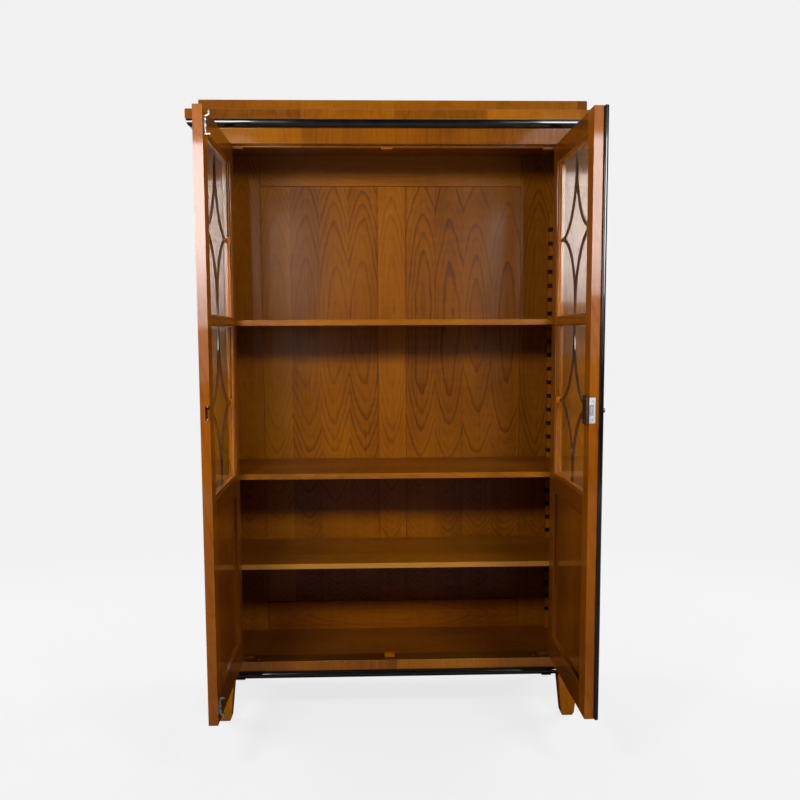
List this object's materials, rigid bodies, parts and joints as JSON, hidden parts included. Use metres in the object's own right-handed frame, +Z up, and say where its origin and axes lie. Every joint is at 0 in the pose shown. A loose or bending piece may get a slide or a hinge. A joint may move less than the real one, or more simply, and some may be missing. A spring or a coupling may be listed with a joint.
{
  "type": "glass-door bookcase",
  "caption": "Veneered display bookcase on tapered feet with a black moulded cornice, adjustable shelves and hinged doors glazed above wooden panels with curved glazing bars.",
  "frame": {"origin": "on the floor under the middle of the case", "axes": "+X to the viewer's right, +Y to the back, +Z up"},
  "size_m": [1.285, 0.9865, 2],
  "materials": {
    "cherry_veneer": "polished, upright grain",
    "inner_wood": "satin",
    "ebonised_wood": "high gloss",
    "pane_glass": "clear",
    "steel": "worn",
    "lock_iron": "dark brown"
  },
  "bodies": {
    "case": {"back_bottom_rail": "inner_wood", "back_left_stile": "inner_wood", "back_muntin": "inner_wood", "back_panels": "inner_wood", "back_right_stile": "inner_wood", "back_top_rail": "inner_wood", "base_moulding": "ebonised_wood", "base_rail": "cherry_veneer", "bottom_board": "inner_wood", "cap": "cherry_veneer", "cornice_board": "cherry_veneer", "cornice_moulding": "ebonised_wood", "feet": "cherry_veneer", "frieze": "cherry_veneer", "left_pilaster": "cherry_veneer", "left_side": "cherry_veneer", "lower_shelf": "inner_wood", "middle_shelf": "inner_wood", "pivot_sockets": "steel", "right_pilaster": "cherry_veneer", "right_side": "cherry_veneer", "shelf_bearers": "inner_wood", "shelf_racks": "inner_wood", "stop_blocks": "inner_wood", "top_board": "inner_wood", "upper_shelf": "inner_wood"},
    "left_door": {"left_door_beads": "cherry_veneer", "left_door_bolt_guides": "steel", "left_door_bottom_rail": "cherry_veneer", "left_door_glass": "pane_glass", "left_door_hinge_stile": "cherry_veneer", "left_door_lattice": "ebonised_wood", "left_door_lock_rail": "cherry_veneer", "left_door_lock_stile": "cherry_veneer", "left_door_mid_rail": "cherry_veneer", "left_door_panel": "cherry_veneer", "left_door_panel_moulding": "cherry_veneer", "left_door_pivots": "steel", "left_door_strike_plate": "lock_iron", "left_door_top_rail": "cherry_veneer"},
    "right_door": {"right_door_astragal": "ebonised_wood", "right_door_beads": "cherry_veneer", "right_door_bottom_rail": "cherry_veneer", "right_door_escutcheon": "ebonised_wood", "right_door_glass": "pane_glass", "right_door_hinge_stile": "cherry_veneer", "right_door_lattice": "ebonised_wood", "right_door_lock_case": "lock_iron", "right_door_lock_plate": "steel", "right_door_lock_rail": "cherry_veneer", "right_door_lock_stile": "cherry_veneer", "right_door_mid_rail": "cherry_veneer", "right_door_panel": "cherry_veneer", "right_door_panel_moulding": "cherry_veneer", "right_door_pivots": "steel", "right_door_top_rail": "cherry_veneer"},
    "top_bolt": {"left_door_top_bolt": "steel"},
    "bottom_bolt": {"left_door_bottom_bolt": "steel"},
    "lock_bolt": {"right_door_lock_bolt": "steel"}
  },
  "joints": [
    {"name": "left_door_swing", "type": "hinge", "parent": "case", "child": "left_door", "pos_m": [-0.5245, -0.223, 0.208], "axis": [0, 0, 1], "range_deg": [-25, 90]},
    {"name": "right_door_swing", "type": "hinge", "parent": "case", "child": "right_door", "pos_m": [0.5245, -0.223, 0.208], "axis": [0, 0, -1], "range_deg": [-25, 90]},
    {"name": "top_bolt_slide", "type": "slide", "parent": "left_door", "child": "top_bolt", "axis": [0, 0, 1], "range_m": [0, 0.012]},
    {"name": "bottom_bolt_slide", "type": "slide", "parent": "left_door", "child": "bottom_bolt", "axis": [0, 0, -1], "range_m": [0, 0.012]},
    {"name": "lock_bolt_slide", "type": "slide", "parent": "right_door", "child": "lock_bolt", "axis": [0, -1, 0], "range_m": [0, 0.009]}
  ]
}
